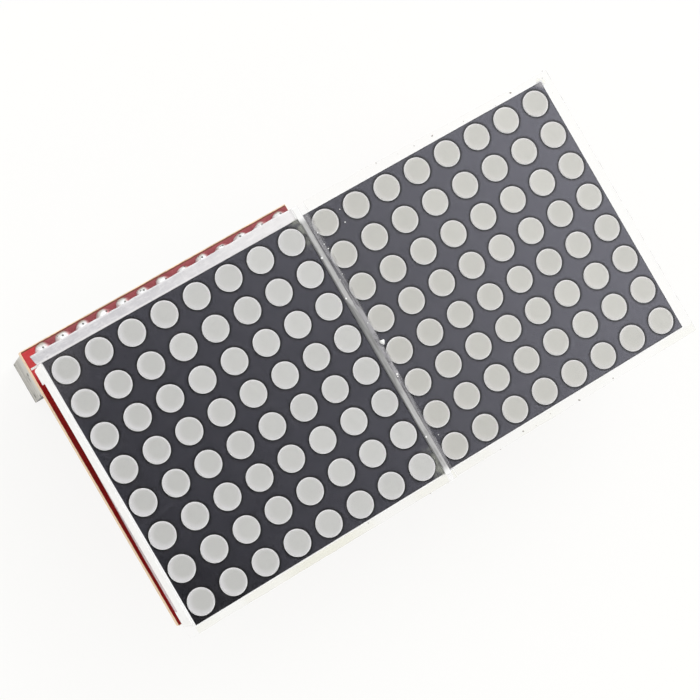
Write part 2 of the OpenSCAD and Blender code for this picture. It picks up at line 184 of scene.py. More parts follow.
# The stage, in metres: camera's right, up and back axes, and where things stand
CAMERA_AXES = ((0.83391, -0.50202, 0.22928), (0.48813, 0.86475, 0.11804), (-0.25753, 0.01349, 0.96618))
CAMERA_PLACE = (-0.04771, -0.0119045, 0.243697)
LAMP_PLACE = Vector((0.45, 0.22, 0.38))
FLOOR_Z = -0.00002
DIM_SIDE = Vector((-0.20, -0.25, 0.947)).normalized()
DIM_PATCH = (-0.02, 0.06, 0.0)

# Colours of wear and stains, and of painted shade and light
THIN_INK = (0.003, 0.003, 0.003)
# Painted shade for the left face's far corner
CORNER_SHADE_INK = (0.003, 0.0025, 0.003)
RUBBED_INK = (0.13, 0.12, 0.12)
DULL_SHINE = (0.3, 0.3, 0.33)
BRIGHT_SHINE = (0.8, 0.8, 1.0)
LILAC = (1.38, 1.35, 1.44)
GAP_SHADE = (0.10, 0.10, 0.105)
FILM_STAIN = (0.42, 0.43, 0.38)
CLEAN_EDGE, DIRTY_EDGE = (0.80, 0.80, 0.78), (0.33, 0.32, 0.30)
MASK_DIRT = (0.05, 0.01, 0.01)
MASK_SPECK = (0.9, 0.4, 0.35)
RESIN_RUN = (1.0, 0.86, 0.9)
CHIPPED, NICKED, SOILED = (0.05, 0.048, 0.045), (0.07, 0.07, 0.065), (0.12, 0.115, 0.11)
SOLDER_STAIN = (0.42, 0.39, 0.30)
SOLDER_FLUX = (0.30, 0.26, 0.17)
SOLDER_SPOT, SOLDER_PIT = (0.04, 0.04, 0.03), (0.05, 0.05, 0.045)

# How opaque the films are: over a face, along its far edge from clear to hazy, and past its other edges
FACE_HAZE = {"left": 0.002, "right": 0.008}
FAR_RIM_HAZE = {"left": (0.05, 0.16), "right": (0.02, 0.10)}
RIM_HAZE = {"left": 0.0, "right": 0.02}

# Rings of points in a film, as shares of the way from its outline to its flat middle
RING_STEPS = (0.0, 0.12, 0.3, 0.5, 0.72, 0.9, 1.0)

# Nicks in the sawn face of the socket: y, z, half width and half height in millimetres
SAWN_NICKS = (
    (0.35, 6.6, 0.3, 0.7), (-0.1, 5.7, 0.4, 0.3), (-1.45, 0.05, 0.28, 0.35), (-2.0, 0.1, 0.35, 0.3),
    (-0.7, 0.1, 0.3, 0.3), (-1.9, 2.6, 0.3, 0.5), (-2.35, 6.9, 0.15, 0.9), (2.3, 0.8, 0.12, 0.5),
)

# Crumbs on the films: x and y in millimetres from the middle of the left module, and relative size
FLAKES = (
    (17.15, -0.16, 4.6), (16.75, -4.0, 1.9), (16.68, -4.25, 1.3), (15.97, 10.92, 2.0), (16.05, 5.83, 1.8),
    (16.05, -11.45, 1.8), (20.5, 14.56, 0.9), (20.27, 13.05, 1.3), (17.0, 12.1, 1.0), (17.0, 13.5, 1.3),
    (16.8, 2.38, 1.1), (17.16, 11.47, 1.2), (16.55, 7.9, 0.9), (17.09, 8.34, 0.9), (17.36, -11.91, 0.8),
)
SPECKS = (
    (33.9, 16.6, 1.7), (44.4, 16.5, 1.9), (26.7, 17.0, 1.0), (31.5, 16.6, 0.9), (42.1, 16.1, 0.7),
    (5.7, -16.1, 1.0), (13.3, -16.9, 0.8), (25.9, -16.4, 1.5), (33.3, -16.7, 1.7), (38.0, -16.6, 1.2),
    (22.6, -16.8, 0.8), (48.6, 16.2, 0.8), (15.6, -16.9, 0.7), (27.5, -16.6, 0.7), (29.6, -16.3, 0.7),
    (48.75, 14.2, 0.6), (29.4, 16.7, 0.6), (37.9, 16.3, 0.7), (49.0, 16.9, 0.8),
)


GROUPS = {
    "matrix_films": FilmSizes,
    "matrix_solder": SolderSizes,
    "matrix_dust": DustSizes,
    "matrix_colours": FinishColours,
    "matrix_stage": StageSizes,
}


# ---- building a finish from shader nodes ----

class Finish:
    """A material or a sky in the making. Positions in a material are in millimetres in the row frame."""

    def __init__(self, name, world=None):
        self.material = world or bpy.data.materials.new(name)
        self.material.use_nodes = True
        self.tree = self.material.node_tree
        self.tree.nodes.clear()
        self.place = None
        self.axes = None

    def node(self, kind, inputs=None, **settings):
        made = self.tree.nodes.new(kind)
        for key, value in settings.items():
            setattr(made, key, value)
        for key, value in (inputs or {}).items():
            self.put(made.inputs[key], value)
        return made

    def put(self, socket, value):
        if isinstance(value, bpy.types.NodeSocket):
            self.tree.links.new(value, socket)
        elif hasattr(socket.default_value, "__len__") and len(socket.default_value) == 4 and len(value) == 3:
            socket.default_value = (*value, 1)
        else:
            socket.default_value = value

    def math(self, operation, a, b=0.0, clamp=False):
        return self.node("ShaderNodeMath", {0: a, 1: b}, operation=operation, use_clamp=clamp).outputs[0]

    def add(self, a, b, clamp=False):
        return self.math("ADD", a, b, clamp)

    def minus(self, a, b):
        return self.math("SUBTRACT", a, b)

    def times(self, first, *others):
        for other in others:
            first = self.math("MULTIPLY", first, other)
        return first

    def most(self, first, *others):
        for other in others:
            first = self.math("MAXIMUM", first, other)
        return first

    def least(self, first, *others):
        for other in others:
            first = self.math("MINIMUM", first, other)
        return first

    def size(self, value):
        """How far a value is from zero"""
        return self.math("ABSOLUTE", value)

    def square(self, value):
        return self.math("POWER", self.size(value), 2.0)

    def facing_up(self):
        """One on faces that look up, zero on side walls and minus one below"""
        normal = self.node("ShaderNodeNewGeometry").outputs["Normal"]
        return self.node("ShaderNodeSeparateXYZ", {0: normal}).outputs[2]

    def vector(self, operation, inputs, output="Vector"):
        return self.node("ShaderNodeVectorMath", inputs, operation=operation).outputs[output]

    def mm(self):
        """Position in millimetres"""
        if self.place is None:
            where = self.node("ShaderNodeTexCoord").outputs["Object"]
            self.place = self.vector("SCALE", {0: where, "Scale": 1 / MM})
        return self.place

    def xyz(self):
        if self.axes is None:
            split = self.node("ShaderNodeSeparateXYZ", {0: self.mm()})
            self.axes = [split.outputs[i] for i in range(3)]
        return self.axes

    def stretched(self, x, y, z):
        """Position with each axis scaled, for streaks and grain"""
        return self.vector("MULTIPLY", {0: self.mm(), 1: (x, y, z)})

    def noise(self, scale, detail=3.0, roughness=0.5, where=None, distortion=0.0):
        return self.node(
            "ShaderNodeTexNoise",
            {"Vector": where or self.mm(), "Scale": scale, "Detail": detail, "Roughness": roughness,
             "Distortion": distortion},
        ).outputs[0]

    def streaks(self, stretch, detail, roughness, distortion=0.0):
        """Noise that is finer along the axes with larger scales"""
        return self.noise(1.0, detail, roughness, self.stretched(*stretch), distortion)

    def cells(self, scale, where=None):
        """Distance to the nearest scattered point"""
        scattered = self.node("ShaderNodeTexVoronoi", {"Vector": where or self.mm(), "Scale": scale})
        return scattered.outputs["Distance"]

    def waves(self, scale, distortion, direction):
        """Bands across one axis, such as the threads of a weave"""
        inputs = {"Vector": self.mm(), "Scale": scale, "Distortion": distortion}
        return self.node("ShaderNodeTexWave", inputs, bands_direction=direction).outputs[1]

    def ramp(self, value, low, high, at_low=0.0, at_high=1.0, form="LINEAR"):
        """Straight step from at_low to at_high as value goes from low to high"""
        inputs = {0: value, 1: low, 2: high, 3: at_low, 4: at_high}
        return self.node("ShaderNodeMapRange", inputs, interpolation_type=form).outputs[0]

    def fade(self, value, low, high, at_low=0.0, at_high=1.0):
        """The same step, smoothed"""
        return self.ramp(value, low, high, at_low, at_high, "SMOOTHSTEP")

    def blend(self, factor, a, b):
        return self.node("ShaderNodeMix", {0: factor, 6: a, 7: b}, data_type="RGBA").outputs[2]

    def bump(self, height, depth, strength=1.0):
        """Surface relief of the given depth in millimetres"""
        inputs = {"Height": height, "Distance": depth * MM, "Strength": strength}
        return self.node("ShaderNodeBump", inputs).outputs[0]

    def wrapped(self, value, half):
        """Value repeated from -half to half"""
        return self.node("ShaderNodeMath", {0: value, 1: half, 2: -half}, operation="WRAP").outputs[0]

    def counted(self, value, pitch):
        """Number of whole pitches in a value"""
        return self.math("FLOOR", self.math("DIVIDE", value, pitch))

    def lots(self, *numbers):
        """Random draws, the same all over a numbered cell"""
        cell = self.node("ShaderNodeCombineXYZ", dict(enumerate(numbers))).outputs[0]
        return self.node("ShaderNodeTexWhiteNoise", {"Vector": cell}, noise_dimensions="3D").outputs

    def from_dot_centre(self, side, shift=(0.0, 0.0)):
        """Millimetres from the middle of the nearest dot of a module, or from a point beside it"""
        x, y, _ = self.xyz()
        centre = MODULE_CENTRE[side]
        half = DOT_PITCH / 2
        squares = []
        for value, middle, aside in ((x, centre.x, shift[0]), (y, centre.y, shift[1])):
            squares.append(self.square(self.wrapped(self.add(value, -middle - aside - half), half)))
        return self.math("SQRT", self.add(*squares))

    def surface(self, base, roughness, **inputs):
        """Ends the material in one Principled shader"""
        named = {key.replace("_", " "): value for key, value in inputs.items()}
        named.update({"Base Color": base, "Roughness": roughness})
        return self.end(self.node("ShaderNodeBsdfPrincipled", named).outputs[0])

    def end(self, shader, kind="ShaderNodeOutputMaterial"):
        self.tree.links.new(shader, self.node(kind).inputs["Surface"])
        return self.material


def scaled(base, factor):
    return tuple(min(1.0, c * factor) for c in base)


def both(name):
    return [side + "_" + name for side in SIDES]


def dress(material, *names):
    """Gives CAD nodes their finish"""
    for name in names:
        mesh = NODES[name].data
        mesh.materials.clear()
        mesh.materials.append(material)


def smooth_shading(name):
    """Soft shading all over a node"""
    mesh = NODES[name].data
    mesh.polygons.foreach_set("use_smooth", [True] * len(mesh.polygons))


# ---- finishes ----

def housing_finish(c):
    f = Finish("white_moulding")
    cloud = f.noise(0.35, 3)
    base = f.blend(f.fade(cloud, 0.35, 0.7), c.housing, scaled(c.housing, 0.965))
    grain = f.noise(14, 3, 0.6)
    return f.surface(
        base, f.fade(f.noise(1.5, 4), 0.3, 0.7, 0.32, 0.46), Normal=f.bump(grain, 0.006, 0.6), IOR=1.53,
    )


def ink_finish(c, side):
    """Dark print, thin and dull round each dot and along the border, rubbed on one corner and with painted
    shade on the far corner
    """
    f = Finish(side + "_face_ink")
    x, y, _ = f.xyz()
    centre = MODULE_CENTRE[side]
    inset = [
        f.minus(INK_HALF, f.size(f.add(axis, -middle)))
        for axis, middle in ((x, centre.x), (y, centre.y))
    ]
    border = f.fade(f.least(*inset), 0.0, 0.14)
    open_ink = f.times(f.fade(f.from_dot_centre(side), 1.55, 1.85), border)
    cloud = f.fade(f.noise(0.22, 3, 0.6), 0.35, 0.7)
    tint = f.blend(cloud, c.ink, scaled(c.ink, 1.25))
    base = f.blend(open_ink, THIN_INK, tint)
    corner_reflection = 1.0
    if side == "left":
        from_left = f.add(x, -centre.x + INK_HALF)
        # Painted shade: the far corner beside the board's bare edge is darkened and its reflection dimmed
        # through the specular tint and coat
        from_corner = f.add(from_left, f.add(y, -centre.y + INK_HALF))
        corner_reflection = f.fade(from_corner, 0.0, 17.0, 0.35, 1.0)
        base = f.blend(f.fade(from_corner, 0.0, 12.0), CORNER_SHADE_INK, base)
        # A rubbed patch on the corner next to the socket's cut end
        from_rubbed = f.minus(from_left, f.add(y, -centre.y - INK_HALF))
        base = f.blend(f.fade(from_rubbed, 9.0, 1.0, 0.0, 0.22), base, RUBBED_INK)
        # The print stops a little short of the left wall, more so toward the far end
        short = f.fade(y, centre.y + 14, centre.y - 12, 0.03, 0.13)
        base = f.blend(f.fade(f.minus(from_left, short), 0.02, -0.02), base, c.housing)
    shine = f.blend(f.times(open_ink, corner_reflection), DULL_SHINE, BRIGHT_SHINE)
    coat = f.times(f.fade(open_ink, 0, 1, 0.35, 1.0), corner_reflection)
    mottle = f.noise(5, 4, 0.6)
    return f.surface(
        base, f.fade(mottle, 0.3, 0.75, 0.22, 0.27), Normal=f.bump(mottle, 0.003, 0.3),
        IOR=1.85, Specular_Tint=shine, Coat_Weight=coat, Coat_Roughness=0.22, Coat_IOR=1.5,
    )


def resin_finish(c, side):
    f = Finish(side + "_milky_resin")
    x, y, _ = f.xyz()
    centre = MODULE_CENTRE[side]
    own = c.resin_left if side == "left" else c.resin_right
    # Each dot is cast a little lighter or darker than its neighbours
    column, row = f.add(x, -centre.x), f.add(y, -centre.y)
    lot = f.lots(f.counted(column, DOT_PITCH), f.counted(row, DOT_PITCH))["Value"]
    base = f.blend(lot, scaled(own, 0.965), scaled(own, 1.035))
    base = f.blend(f.fade(x, centre.x - 13, centre.x + 3), scaled(own, 0.92), base)
    # Painted light: a lighter crescent offset to one side of each dot stands in for the cavity's inner wall
    # lit from the other side, stronger toward the left of the left module
    lilac = tuple(min(1.0, part * tone) for part, tone in zip(own, LILAC))
    lit_crescent = f.fade(f.from_dot_centre(side, (0.24, 0.1)), 0.85, 1.62)
    reach = f.fade(x, centre.x - 14, centre.x + 4, 0.6, 0.25) if side == "left" else 0.3
    base = f.blend(f.times(lit_crescent, reach), base, lilac)
    # The white wall of the cavity shows through the resin as a ring round each dot
    base = f.blend(f.fade(f.from_dot_centre(side), 1.24, 1.38, 0.0, 0.55), base, lilac)
    skin = f.noise(3.0, 3, 0.55)
    return f.surface(
        base, f.fade(skin, 0.3, 0.7, 0.3, 0.42), Normal=f.bump(skin, 0.008, 0.4), IOR=1.5,
        Coat_Weight=0.6, Coat_Roughness=0.25,
    )


def rubbed_strip(f, c, rubbed):
    """Share and colour of the left film where it rubbed on the solder joints, whiter toward the right"""
    x, y, _ = f.xyz()
    centre = MODULE_CENTRE["left"]
    past_wall = f.fade(y, NEAR_EDGE - 0.15, NEAR_EDGE - 0.1)
    strip = f.times(past_wall, f.fade(x, SEAM_LEFT - 0.1, SEAM_LEFT - 0.7))
    smear = f.streaks((0.55, 1.5, 1.0), 4, 0.65, 1.2)
    marks = f.noise(1.3, 3, 0.6, where=f.stretched(1.0, 1.6, 1.0), distortion=0.8)
    pale = f.fade(x, centre.x - 7, centre.x + 15, 0.0, 0.85)
    pale = f.add(pale, f.times(f.fade(smear, 0.45, 0.62), 0.22), clamp=True)
    edge_y = f.add(f.times(x, 0.005), NEAR_EDGE + 1.1)
    outer_line = f.fade(f.minus(edge_y, y), 0.24, 0.06, 0.0, 0.6)
    inner_line = f.fade(y, NEAR_EDGE + 0.16, NEAR_EDGE, 0.0, 0.8)
    scuffed = f.blend(f.most(pale, outer_line, inner_line), c.film, c.film_pale)
    scuffed = f.blend(f.times(rubbed, 0.3), scuffed, scaled(c.film_pale, 1.08))
    scuffed = f.blend(f.times(f.fade(marks, 0.62, 0.72), 0.4), scuffed, scaled(c.film, 0.72))
    return strip, scuffed


def seam_film(f, c, tint, alpha):
    """Adds the film over the gap, grey with painted shade of the gap beneath it, its lap on the right module
    and the stains at the gap's ends
    """
    x, y, _ = f.xyz()
    along = f.add(y, -MODULE_CENTRE["left"].y)
    from_middle = f.size(along)
    gap = f.times(
        f.fade(x, SEAM_LEFT - 0.17, SEAM_LEFT - 0.12), f.fade(x, SEAM_RIGHT + 0.16, SEAM_RIGHT + 0.08)
    )
    streak = f.fade(f.streaks((5.0, 0.22, 1.0), 4, 0.62), 0.36, 0.66)
    # One bright thread wanders along the gap
    thread_x = f.add(f.times(f.fade(from_middle, 6.0, 3.5), 0.52), SEAM_LEFT + 0.26)
    breaks = f.fade(f.streaks((0.8, 0.5, 1.0), 3, 0.6), 0.3, 0.6)
    thread = f.times(f.fade(f.size(f.minus(x, thread_x)), 0.36, 0.16), f.fade(breaks, 0, 1, 0.4, 1.0))
    # Painted shade: the grey over the gap stands in for the gap and the right module's wall in shade beneath
    # the film; the streaks and the thread are the film's own
    grey = f.blend(streak, scaled(c.seam_haze_and_shade, 0.62), scaled(c.seam_haze_and_shade, 1.2))
    grey = f.blend(f.times(thread, 0.52), grey, scaled(c.seam_haze_and_shade, 1.95))
    # Painted shade: darkest at the gap's left edge
    grey = f.blend(f.fade(x, SEAM_LEFT - 0.1, SEAM_LEFT + 0.02), GAP_SHADE, grey)
    ends = f.fade(from_middle, MODULE_HALF - 1.0, MODULE_HALF - 0.1)
    grey = f.blend(ends, grey, scaled(c.housing, 0.93))
    # Where the film laps over the right module it is a thin haze
    on_face = f.fade(from_middle, MODULE_HALF - 0.03, MODULE_HALF - 0.15)
    lap = f.times(f.fade(x, SEAM_RIGHT + 0.08, SEAM_RIGHT + 0.16), on_face)
    hazy = f.fade(x, SEAM_RIGHT + 0.75, SEAM_RIGHT + 0.6, 0.10, 0.24)
    lap_haze = f.most(f.times(hazy, f.fade(streak, 0, 1, 0.35, 1.5)), f.times(thread, 0.55))
    tint = f.blend(f.most(gap, lap), tint, f.blend(lap, grey, scaled(c.film, 0.85)))
    past_far_end = f.minus(f.times(along, -1.0), MODULE_HALF)
    # Painted shade: the grey over the gap is nearly opaque, thinning past the housing's far end
    gap_shade_opacity = f.fade(past_far_end, 0.0, 0.3, 0.93, 0.25)
    alpha = f.most(alpha, f.times(gap, gap_shade_opacity), f.times(lap, lap_haze))
    # Grey stains where the film lifts at the face's two corners beside the gap
    stain = f.times(
        f.fade(x, SEAM_LEFT - 1.7, SEAM_LEFT - 0.4), f.fade(from_middle, 11.5, 14.5), on_face,
        f.fade(f.noise(1.3, 3, 0.6), 0.38, 0.62, 0.05, 0.34),
        f.fade(x, SEAM_LEFT - 0.12, SEAM_LEFT - 0.17), f.fade(f.from_dot_centre("left"), 1.5, 1.6),
    )
    return f.blend(f.fade(stain, 0.01, 0.05), tint, FILM_STAIN), f.most(alpha, stain)


def film_finish(c, side):
    """Film that is clear where it sticks down, rubbed milky past the edges and grey over the gap, where the
    grey is painted shade of the gap
    """
    f = Finish(side + "_film")
    x, y, _ = f.xyz()
    centre = MODULE_CENTRE[side]
    scratch_a = f.streaks((1.1, 4.0, 1.0), 4, 0.62, 0.7)
    scratch_b = f.streaks((4.6, 1.3, 1.0), 4, 0.62, 0.5)
    rubbed = f.most(f.fade(scratch_a, 0.5, 0.62), f.fade(scratch_b, 0.54, 0.66))
    # Over the face: a faint haze
    face_streak = f.fade(f.streaks((0.5, 1.6, 1.0), 3, 0.6), 0.4, 0.75)
    alpha = f.add(FACE_HAZE[side], f.times(face_streak, 0.007))
    # Past the housing's edges: a thin rim, yellowed in patches
    aside = f.size(f.add(x, -centre.x))
    across = f.minus(aside, MODULE_HALF)
    below = f.minus(f.add(centre.y, f.times(y, -1.0)), MODULE_HALF)
    above = f.minus(f.add(y, -centre.y), MODULE_HALF)
    past_far_edge = f.fade(below, -0.03, 0.04)
    patches = f.fade(f.noise(0.16, 2, 0.5), 0.4, 0.62)
    rim = f.times(past_far_edge, f.fade(patches, 0, 1, *FAR_RIM_HAZE[side]))
    if side == "left":
        rim = f.most(rim, f.times(past_far_edge, f.fade(aside, 9.0, 2.0, 0.0, 0.3)))
    rim = f.most(rim, f.times(f.fade(f.most(across, above), -0.03, 0.04), RIM_HAZE[side]))
    alpha = f.most(alpha, rim)
    tint = f.blend(f.fade(rim, 0.0, 0.02), c.film, c.film_rim)
    if side == "left":
        strip, scuffed = rubbed_strip(f, c, rubbed)
        alpha = f.most(alpha, f.times(strip, 0.94))
        tint, alpha = seam_film(f, c, f.blend(strip, tint, scuffed), alpha)
        # Past the left wall the film is too clear to see
        wall_x = centre.x - INK_HALF
        seen = f.most(f.fade(x, wall_x - 0.1, wall_x), f.fade(y, NEAR_EDGE - 0.2, NEAR_EDGE - 0.1))
        alpha = f.times(alpha, seen)
    else:
        # A chalky spot on the outer corner on the socket side
        corner = f.add(f.size(f.add(across, 0.3)), f.size(f.add(above, 0.3)))
        chalk = f.times(f.fade(corner, 0.95, 0.25, 0.0, 0.3), f.fade(x, centre.x, centre.x + 1))
        alpha = f.most(alpha, chalk)
    relief = f.bump(f.streaks((2.5, 5.0, 1.0), 4, 0.6), 0.03, 0.35)
    return f.surface(
        tint, f.fade(rubbed, 0, 1, 0.28, 0.5), Normal=relief, IOR=1.49, Alpha=f.least(alpha, 1.0),
    )


def film_edge_finish(c):
    """The cut edge of a film, grey with dirt in places and clean along the left wall"""
    f = Finish("film_cut_edge")
    x, y, _ = f.xyz()
    beside_wall = f.times(
        f.fade(x, BOARD_LOW.x + 2.2, BOARD_LOW.x + 1.8), f.fade(y, 0.1, -0.1),
        f.fade(y, BOARD_LOW.y + 0.2, BOARD_LOW.y + 0.8),
    )
    dirt = f.noise(1.1, 4, 0.65)
    base = f.blend(f.fade(dirt, 0.42, 0.62), CLEAN_EDGE, DIRTY_EDGE)
    alpha = f.times(f.fade(dirt, 0.42, 0.66, 0.08, 0.7), f.minus(1.0, beside_wall))
    return f.surface(base, f.fade(dirt, 0.3, 0.7, 0.35, 0.6), Alpha=alpha, IOR=1.49)


def board_finish(c):
    """Red mask over woven laminate, with a bare rim along the cut edges"""
    f = Finish("red_masked_board")
    x, y, _ = f.xyz()
    top_edge = f.minus(BOARD_HIGH.y, y)
    other_edges = f.least(f.add(y, -BOARD_LOW.y), f.minus(BOARD_HIGH.x, x), f.add(x, -BOARD_LOW.x))
    notch = f.most(f.minus(SOCKET_HIGH.x, x), f.minus(SHOULDER, y))
    ragged = f.times(f.add(f.noise(1.6, 4, 0.6), -0.5), 0.1)
    inset = f.add(f.least(top_edge, other_edges, notch), ragged)
    inset = f.minus(inset, f.fade(top_edge, 0.3, 0.1, 0.0, 0.06))
    up = f.facing_up()
    on_front = f.fade(up, 0.4, 0.6)
    masked = f.times(f.fade(f.size(up), 0.4, 0.6), f.fade(inset, 0.02, 0.06))
    # The mask is dulled by flux along the joints; beside the module it carries painted shade, deep red, and
    # darker painted shade under its wall
    by_joints = f.times(
        f.fade(y, SHOULDER, SHOULDER + 0.3), f.fade(x, BOARD_LOW.x + 1.3, BOARD_LOW.x + 2.6)
    )
    tone = f.blend(by_joints, c.mask, c.fluxed)
    # Painted shade: deep red on the board's top beside the module
    tone = f.blend(f.times(f.fade(y, SHOULDER + 0.1, SHOULDER - 1.6), on_front), tone, c.painted_shade_red)
    # Painted shade: darker still under the module's wall
    under_wall_shade = f.times(
        f.fade(x, BOARD_LOW.x + 0.55, BOARD_LOW.x + 1.05), f.fade(y, SHOULDER + 0.3, SHOULDER - 0.3)
    )
    tone = f.blend(f.times(under_wall_shade, 0.6), tone, scaled(c.painted_shade_red, 0.35))
    cloud = f.fade(f.noise(0.5, 4, 0.6), 0.35, 0.7)
    mask = f.blend(f.times(cloud, 0.22), tone, MASK_DIRT)
    speck = f.fade(f.cells(2.2), 0.05, 0.09)
    mask = f.blend(speck, f.blend(0.3, mask, MASK_SPECK), mask)
    # White resin that ran down from the module onto the board, wider toward the far end
    run_x = f.fade(y, -4.0, -27.0, BOARD_LOW.x + 0.68, BOARD_LOW.x + 0.38)
    run = f.times(
        f.fade(f.minus(x, run_x), -0.02, 0.05), f.fade(x, BOARD_LOW.x + 1.6, BOARD_LOW.x + 1.3),
        f.fade(y, -3.5, -5.0), on_front,
    )
    mask = f.blend(run, mask, RESIN_RUN)
    line = f.times(f.fade(top_edge, 0.27, 0.2), f.fade(top_edge, 0.07, 0.1))
    mask = f.blend(f.times(line, 0.95), mask, scaled(c.singed, 0.8))
    layers = f.streaks((0.5, 0.5, 9.0), 3, 0.5)
    bare = f.blend(f.fade(layers, 0.35, 0.65), scaled(c.laminate, 0.82), scaled(c.laminate, 1.1))
    singed = f.fade(f.noise(1.3, 4, 0.6), 0.6, 0.72)
    bare = f.blend(f.times(singed, 0.4), bare, c.singed)
    weave = f.times(f.waves(0.62, 0.6, "X"), f.waves(0.62, 0.6, "Y"))
    relief = f.bump(f.add(weave, f.times(layers, 0.5)), 0.02, 0.5)
    return f.surface(
        f.blend(masked, bare, mask), f.fade(masked, 0, 1, 0.7, 0.3), Normal=relief, IOR=1.3,
    )


def legend_finish(c):
    f = Finish("legend_print")
    speckle = f.noise(9, 4, 0.6)
    base = f.blend(f.fade(speckle, 0.35, 0.6), scaled(c.legend, 0.85), c.legend)
    return f.surface(base, f.fade(speckle, 0.3, 0.7, 0.45, 0.65), Normal=f.bump(speckle, 0.01, 0.6))


def socket_finish(c):
    """Black moulding, whitened and streaked on the face where it was cut from a longer strip"""
    f = Finish("socket_moulding")
    x, y, z = f.xyz()
    grain = f.noise(7, 4, 0.6)
    black = f.blend(f.fade(f.noise(0.6, 3), 0.35, 0.7), c.socket, scaled(c.socket, 1.8))
    sawn = f.fade(x, SOCKET_LOW.x + 0.08, SOCKET_LOW.x + 0.02)
    teeth = f.streaks((1.0, 0.35, 3.2), 4, 0.62, 0.4)
    pale = f.blend(f.fade(teeth, 0.38, 0.62), scaled(c.sawn, 0.74), scaled(c.sawn, 1.14))
    pale = f.blend(f.fade(z, 3.5, 8.3, 0.0, 0.75), pale, scaled(c.sawn, 1.38))
    scores = f.fade(f.streaks((1.0, 0.25, 6.0), 3, 0.7, 0.3), 0.58, 0.68)
    pale = f.blend(f.times(scores, 0.55), pale, scaled(c.sawn, 0.45))
    chips = f.fade(f.cells(0.9, where=f.stretched(1.0, 1.0, 0.9)), 0.10, 0.17)
    near_foot = f.fade(z, 1.6, 0.5)
    near_root = f.times(f.fade(z, 4.4, 5.0), f.fade(z, 6.2, 5.6))
    chipped = f.times(f.minus(1.0, chips), f.most(near_foot, near_root))
    pale = f.blend(chipped, pale, CHIPPED)
    nicks = 0.0
    jagged = f.fade(teeth, 0.4, 0.6, -0.3, 0.3)
    for nick_y, nick_z, wide, tall in SAWN_NICKS:
        off_y = f.square(f.math("DIVIDE", f.add(y, -nick_y), wide))
        off_z = f.square(f.math("DIVIDE", f.add(z, -nick_z), tall))
        nicks = f.most(nicks, f.fade(f.add(f.add(off_y, off_z), jagged), 1.0, 0.4))
    pale = f.blend(f.times(nicks, 0.7), pale, NICKED)
    foot = f.times(f.fade(z, 0.35, 0.0), f.fade(f.noise(1.4, 3), 0.45, 0.6))
    pale = f.blend(f.times(foot, 0.7), pale, SOILED)
    base = f.blend(sawn, black, pale)
    relief = f.add(f.times(teeth, f.times(sawn, 3.0)), grain)
    return f.surface(
        base, f.fade(sawn, 0, 1, 0.42, 0.75), Normal=f.bump(relief, 0.02, 0.7), IOR=1.5,
    )


def metal_finish(name, base, low, high, grain_scale=4.0, stretch=(1, 1, 1)):
    """Tinned or soldered metal with a dull bloom"""
    f = Finish(name)
    grain = f.noise(1.0, 4, 0.6, where=f.stretched(*[grain_scale * s for s in stretch]))
    bloom = f.noise(1.2, 3, 0.5)
    tone = f.blend(f.fade(bloom, 0.35, 0.7), base, scaled(base, 0.84))
    return f.surface(
        tone, f.fade(grain, 0.3, 0.7, low, high), Normal=f.bump(grain, 0.012, 0.6), Metallic=1.0,
    )


def solder_finish(c):
    """Dull white solder, browned by flux toward the board's edge, pitted at the crests and with painted
    shade on one flank
    """
    f = Finish("hand_solder")
    x, y, _ = f.xyz()
    ripple = f.noise(2.2, 4, 0.6, distortion=0.6)
    stain = f.fade(f.noise(1.7, 4, 0.6), 0.5, 0.68)
    tone = f.blend(f.times(stain, 0.5), c.solder, SOLDER_STAIN)
    half = SOCKET_PITCH / 2
    across = f.wrapped(x, half)
    lots = f.lots(f.counted(f.add(x, half), SOCKET_PITCH))
    shifts = f.node("ShaderNodeSeparateColor", {0: lots["Color"]}).outputs
    tone = f.blend(f.fade(y, 2.1, 2.4, 0.0, 0.6), tone, SOLDER_FLUX)
    # Painted shade: the flank away from the socket's cut end is darkened to the colour of the fluxed mask
    shaded_flank = f.fade(f.add(across, f.times(lots["Value"], 0.3)), 0.15, 0.65)
    tone = f.blend(f.times(shaded_flank, f.fade(y, 1.4, 1.8, 0.0, 0.9)), tone, scaled(c.fluxed, 1.1))
    # One dark spot near each crest, each in a place of its own
    spot_x = f.minus(across, f.times(f.minus(shifts[0], 0.3), 0.7))
    spot_y = f.minus(y, f.add(f.times(shifts[1], 0.25), 1.85))
    off_spot = f.add(f.square(spot_x), f.square(spot_y))
    tone = f.blend(f.fade(off_spot, 0.022, 0.006, 0.0, 0.9), tone, SOLDER_SPOT)
    tone = f.blend(f.fade(f.cells(1.25), 0.12, 0.2), SOLDER_PIT, tone)
    return f.surface(
        tone, f.fade(ripple, 0.3, 0.7, 0.34, 0.5), Normal=f.bump(ripple, 0.06, 0.6), Metallic=0.55,
    )


def mould_finish(c):
    f = Finish("chip_moulding")
    grain = f.noise(16, 4, 0.65)
    tone = f.blend(f.fade(f.noise(0.5, 3), 0.35, 0.7), c.mould, scaled(c.mould, 1.6))
    return f.surface(tone, f.fade(grain, 0.3, 0.7, 0.5, 0.68), Normal=f.bump(grain, 0.012, 0.8))


def carrier_finish(c):
    f = Finish("chip_board_laminate")
    cloth = f.times(f.waves(0.7, 0.5, "X"), f.waves(0.7, 0.5, "Y"))
    tone = f.blend(f.fade(cloth, 0.2, 0.8), scaled(c.carrier, 0.82), c.carrier)
    return f.surface(tone, f.fade(cloth, 0, 1, 0.5, 0.38), Normal=f.bump(cloth, 0.015, 0.6))


def die_finish(c):
    f = Finish("light_chip")
    facet = f.noise(9, 2)
    return f.surface(f.blend(facet, c.die, scaled(c.die, 0.7)), f.fade(facet, 0.3, 0.7, 0.25, 0.4), IOR=1.7)


